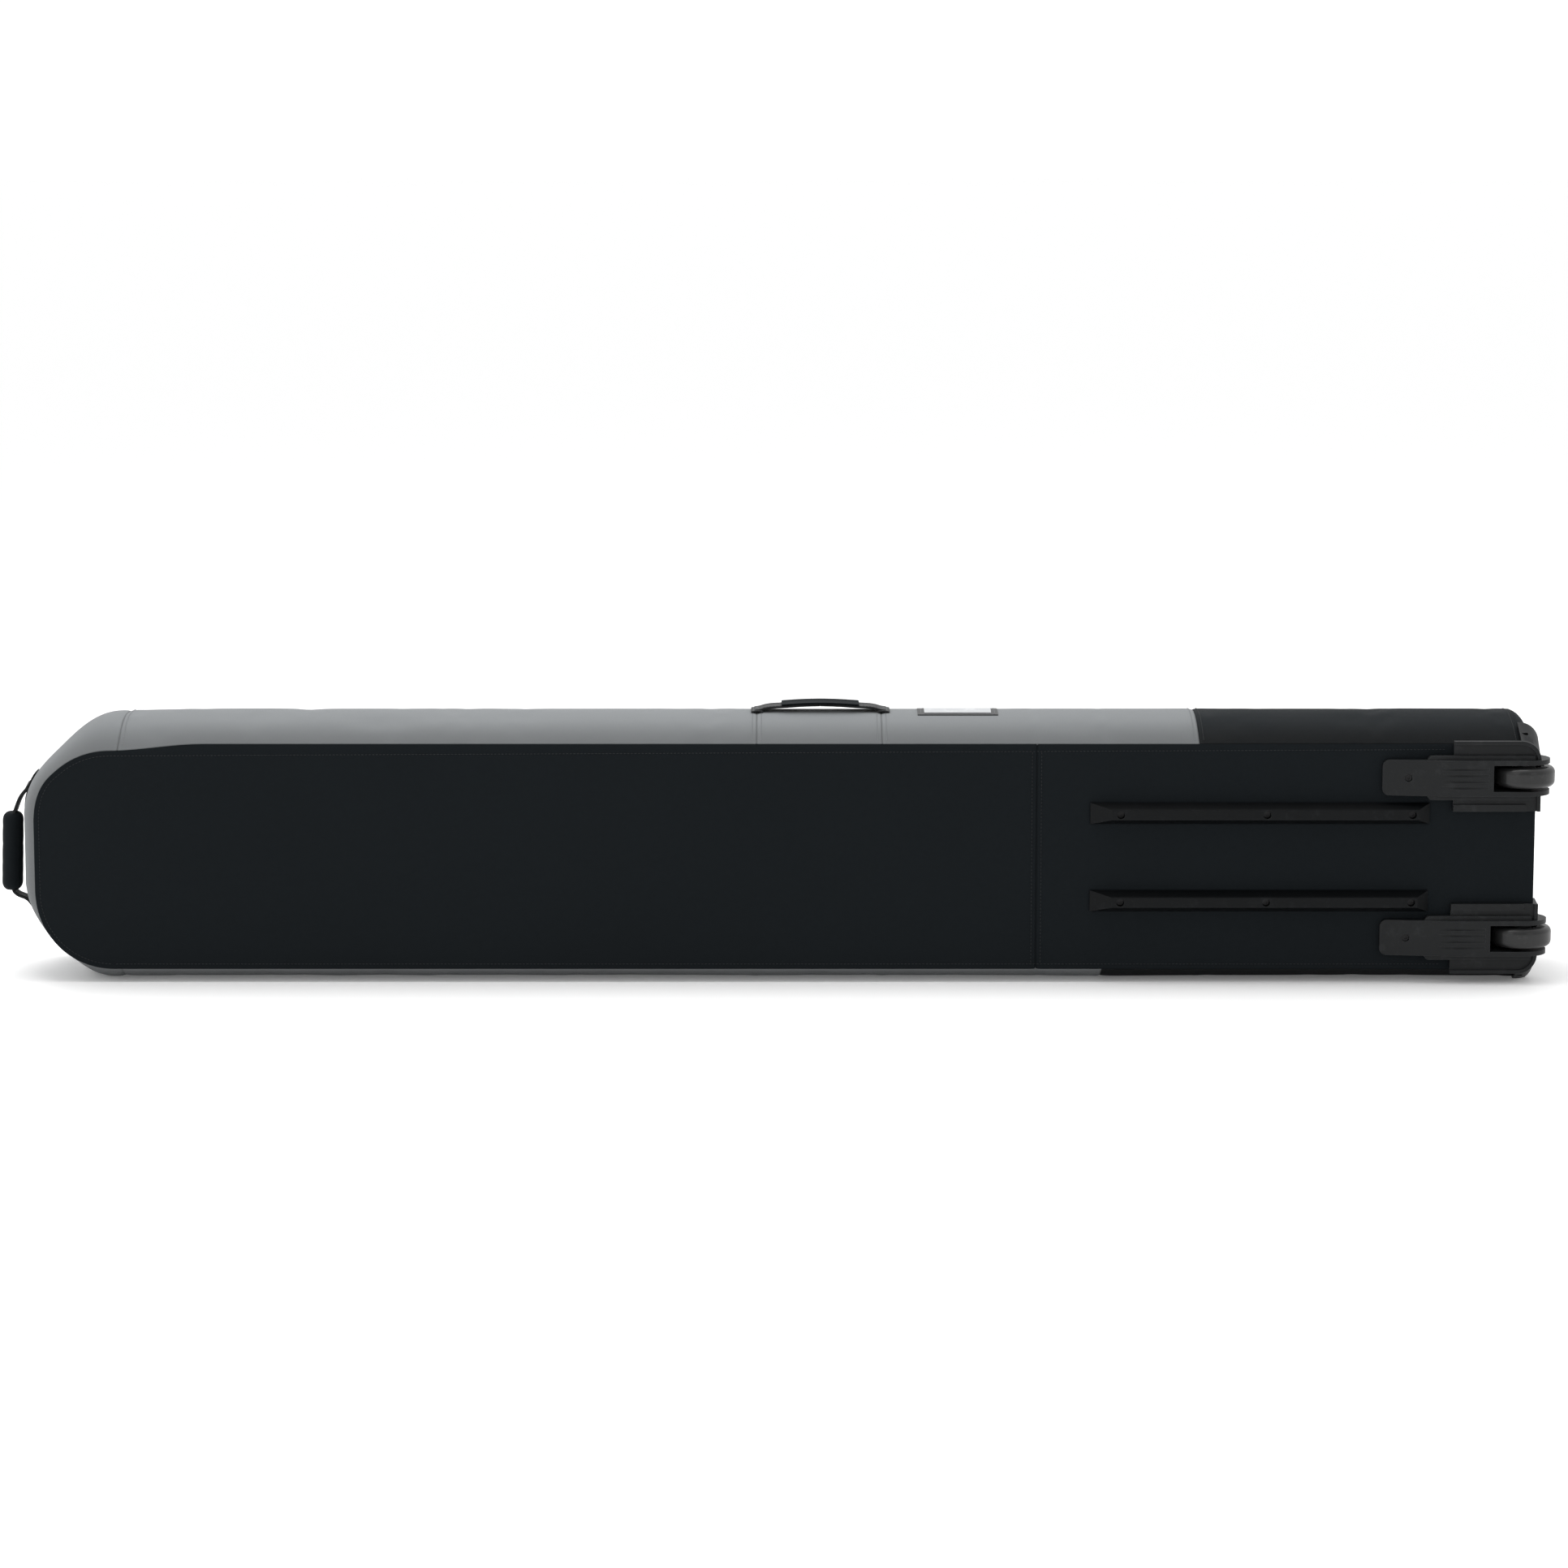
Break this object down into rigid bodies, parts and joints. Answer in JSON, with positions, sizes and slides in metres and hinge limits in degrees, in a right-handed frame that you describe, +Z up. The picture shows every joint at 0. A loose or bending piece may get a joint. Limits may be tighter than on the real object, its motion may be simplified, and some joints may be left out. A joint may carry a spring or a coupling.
{
  "type": "snowboard bag",
  "caption": "Long padded board bag standing on its side: flat base with skid rails and wheels in moulded housings, zipped lid, carry handle and nose handle.",
  "frame": {"origin": "middle of the underside of the whole bag's box, on the floor that the bag stands on", "axes": "+X along the bag from the nose to the wheels, +Y from the base with the rails to the lid, +Z up from the floor"},
  "size_m": [1.8378, 0.207, 0.3238],
  "materials": {
    "black_cloth": "coated woven polyester, matt",
    "grey_cloth": "woven polyester, matt",
    "foam": "closed-cell foam",
    "lining": "thin woven lining",
    "board": "polyethylene sheet",
    "moulding": "moulded plastic, fine texture",
    "rail": "moulded plastic, fine texture",
    "tyre": "cast polyurethane",
    "hub": "moulded nylon",
    "steel": "zinc plated steel",
    "bearing": "ground steel",
    "webbing": "woven nylon webbing",
    "zip_tape": "woven zipper tape",
    "zip_coil": "moulded nylon coil",
    "slider": "die-cast zinc, black",
    "label_dark": "moulded rubber border",
    "label_light": "plain light patch",
    "buckle": "moulded acetal"
  },
  "bodies": {
    "bag_body": {"base_front_panel": "black_cloth", "base_tail_panel": "black_cloth", "base_stiffener": "board", "base_foam": "foam", "base_lining": "lining", "gusset_nose": "grey_cloth", "gusset_top_front": "grey_cloth", "gusset_handle_panel": "grey_cloth", "gusset_top_rear": "grey_cloth", "gusset_top_tail": "black_cloth", "gusset_bottom_front": "grey_cloth", "gusset_bottom_tail": "black_cloth", "tail_wall": "black_cloth", "gusset_foam": "foam", "gusset_lining": "lining", "zipper_tape_body": "zip_tape", "zipper_coil_body": "zip_coil", "lid_hinge_strip": "grey_cloth", "wheel_housing_upper": "moulding", "wheel_housing_lower": "moulding", "axle_bolt_upper": "steel", "axle_bolt_lower": "steel", "axle_nuts": "steel", "axle_spacers": "steel", "bearing_inner_rings": "bearing", "skid_rail_upper": "rail", "skid_rail_lower": "rail", "rail_screws": "steel", "housing_screws": "steel", "screw_washers": "steel", "carry_handle_anchors": "webbing", "nose_handle_anchors": "webbing", "label_border": "label_dark", "label_field": "label_light", "strap_webbing_lower": "webbing", "strap_webbing_upper": "webbing", "buckle_sockets": "buckle"},
    "lid": {"lid_panel": "grey_cloth", "lid_rim": "grey_cloth", "lid_foam": "foam", "lid_lining": "lining", "zipper_tape_lid": "zip_tape", "zipper_coil_lid": "zip_coil"},
    "slider_nose": {"zipper_slider_nose": "slider"},
    "slider_tail": {"zipper_slider_tail": "slider"},
    "tab_nose": {"pull_tab_nose": "slider"},
    "tab_tail": {"pull_tab_tail": "slider"},
    "wheel_upper": {"wheel_tyre_upper": "tyre", "wheel_hub_upper": "hub", "wheel_bearings_upper": "bearing"},
    "wheel_lower": {"wheel_tyre_lower": "tyre", "wheel_hub_lower": "hub", "wheel_bearings_lower": "bearing"},
    "carry_handle": {"carry_handle_strap": "webbing"},
    "nose_handle": {"nose_handle_strap": "webbing", "nose_handle_grip": "webbing"},
    "buckle_front": {"buckle_plug_front": "buckle"},
    "buckle_rear": {"buckle_plug_rear": "buckle"}
  },
  "joints": [
    {"name": "lid_hinge", "type": "hinge", "parent": "bag_body", "child": "lid", "pos_m": [0.015, 0.1035, 0.0165], "axis": [-1, 0, 0], "range_deg": [0, 90]},
    {"name": "wheel_upper_spin", "type": "hinge", "parent": "bag_body", "child": "wheel_upper", "pos_m": [0.883, -0.0675, 0.245], "axis": [0, 0, 1], "continuous": true},
    {"name": "wheel_lower_spin", "type": "hinge", "parent": "bag_body", "child": "wheel_lower", "pos_m": [0.883, -0.0675, 0.055], "axis": [0, 0, 1], "continuous": true},
    {"name": "slider_nose_travel", "type": "slide", "parent": "bag_body", "child": "slider_nose", "axis": [-1, 0, 0], "range_m": [0, 0.46]},
    {"name": "slider_tail_travel", "type": "slide", "parent": "bag_body", "child": "slider_tail", "axis": [1, 0, 0], "range_m": [0, 1.14]},
    {"name": "tab_nose_flip", "type": "hinge", "parent": "slider_nose", "child": "tab_nose", "pos_m": [-0.292, 0.08752, 0.29713], "axis": [0, 0.9, -0.4359], "range_deg": [0, 95]},
    {"name": "tab_tail_flip", "type": "hinge", "parent": "slider_tail", "child": "tab_tail", "pos_m": [-0.278, 0.08752, 0.29713], "axis": [0, -0.9, 0.4359], "range_deg": [0, 95]},
    {"name": "carry_handle_lift", "type": "slide", "parent": "bag_body", "child": "carry_handle", "axis": [0, 0, 1], "range_m": [0, 0.02]},
    {"name": "nose_handle_swing", "type": "hinge", "parent": "bag_body", "child": "nose_handle", "pos_m": [-0.887, 0.011, 0.15], "axis": [0, 0, 1], "range_deg": [-30, 30]},
    {"name": "buckle_front_release", "type": "slide", "parent": "bag_body", "child": "buckle_front", "axis": [0, 0, -1], "range_m": [0, 0.025]},
    {"name": "buckle_rear_release", "type": "slide", "parent": "bag_body", "child": "buckle_rear", "axis": [0, 0, -1], "range_m": [0, 0.025]}
  ]
}
